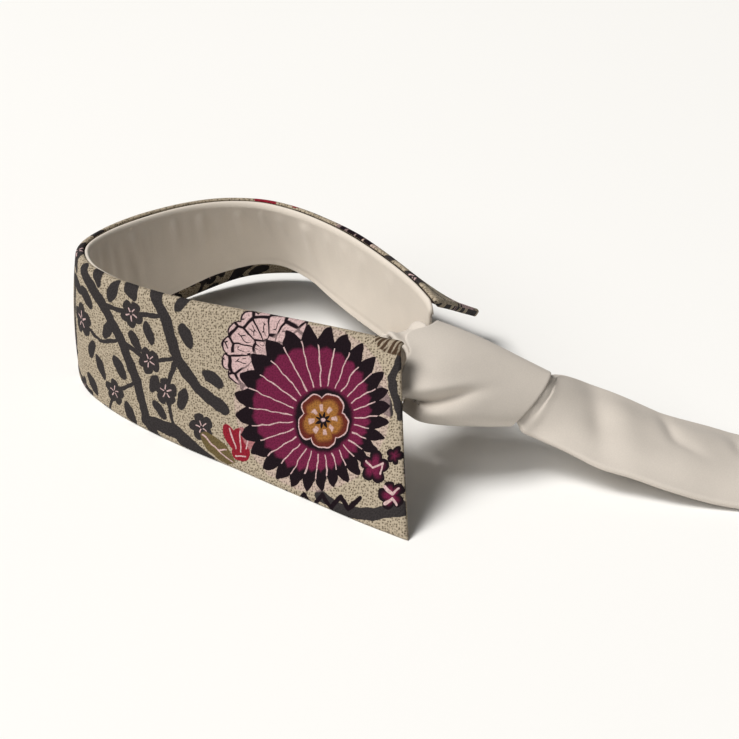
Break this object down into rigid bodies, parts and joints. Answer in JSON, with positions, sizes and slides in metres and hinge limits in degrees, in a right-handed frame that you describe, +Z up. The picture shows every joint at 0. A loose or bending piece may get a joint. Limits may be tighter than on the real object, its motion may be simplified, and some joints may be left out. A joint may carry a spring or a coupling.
{
  "type": "detachable collar tie",
  "caption": "Detachable shirt collar in printed crepe, folded over a cream stand, with its own cream band tied in a knot at the front; it stands on a table with the blade laid out.",
  "frame": {"origin": "middle of the whole outline, on the table", "axes": "+Z up, the tie runs out from the collar towards -Y, the neck loop lies towards +Y"},
  "size_m": [0.1498, 0.4105, 0.05],
  "materials": {
    "printed_crepe": "matte pebbled crepe, printed with flowers and bars",
    "cream_lining": "soft smooth lining with fine gathers",
    "cream_crepe": "soft matte crepe with a faint sheen"
  },
  "bodies": {
    "root": {"upper_collar": "printed_crepe", "under_collar": "printed_crepe", "collar_stand": "cream_lining", "neck_band_near": "cream_crepe", "neck_band_far": "cream_crepe", "knot_wrap": "cream_crepe", "knot_pass": "cream_crepe", "front_blade": "cream_crepe", "back_tail": "cream_crepe"}
  },
  "joints": []
}
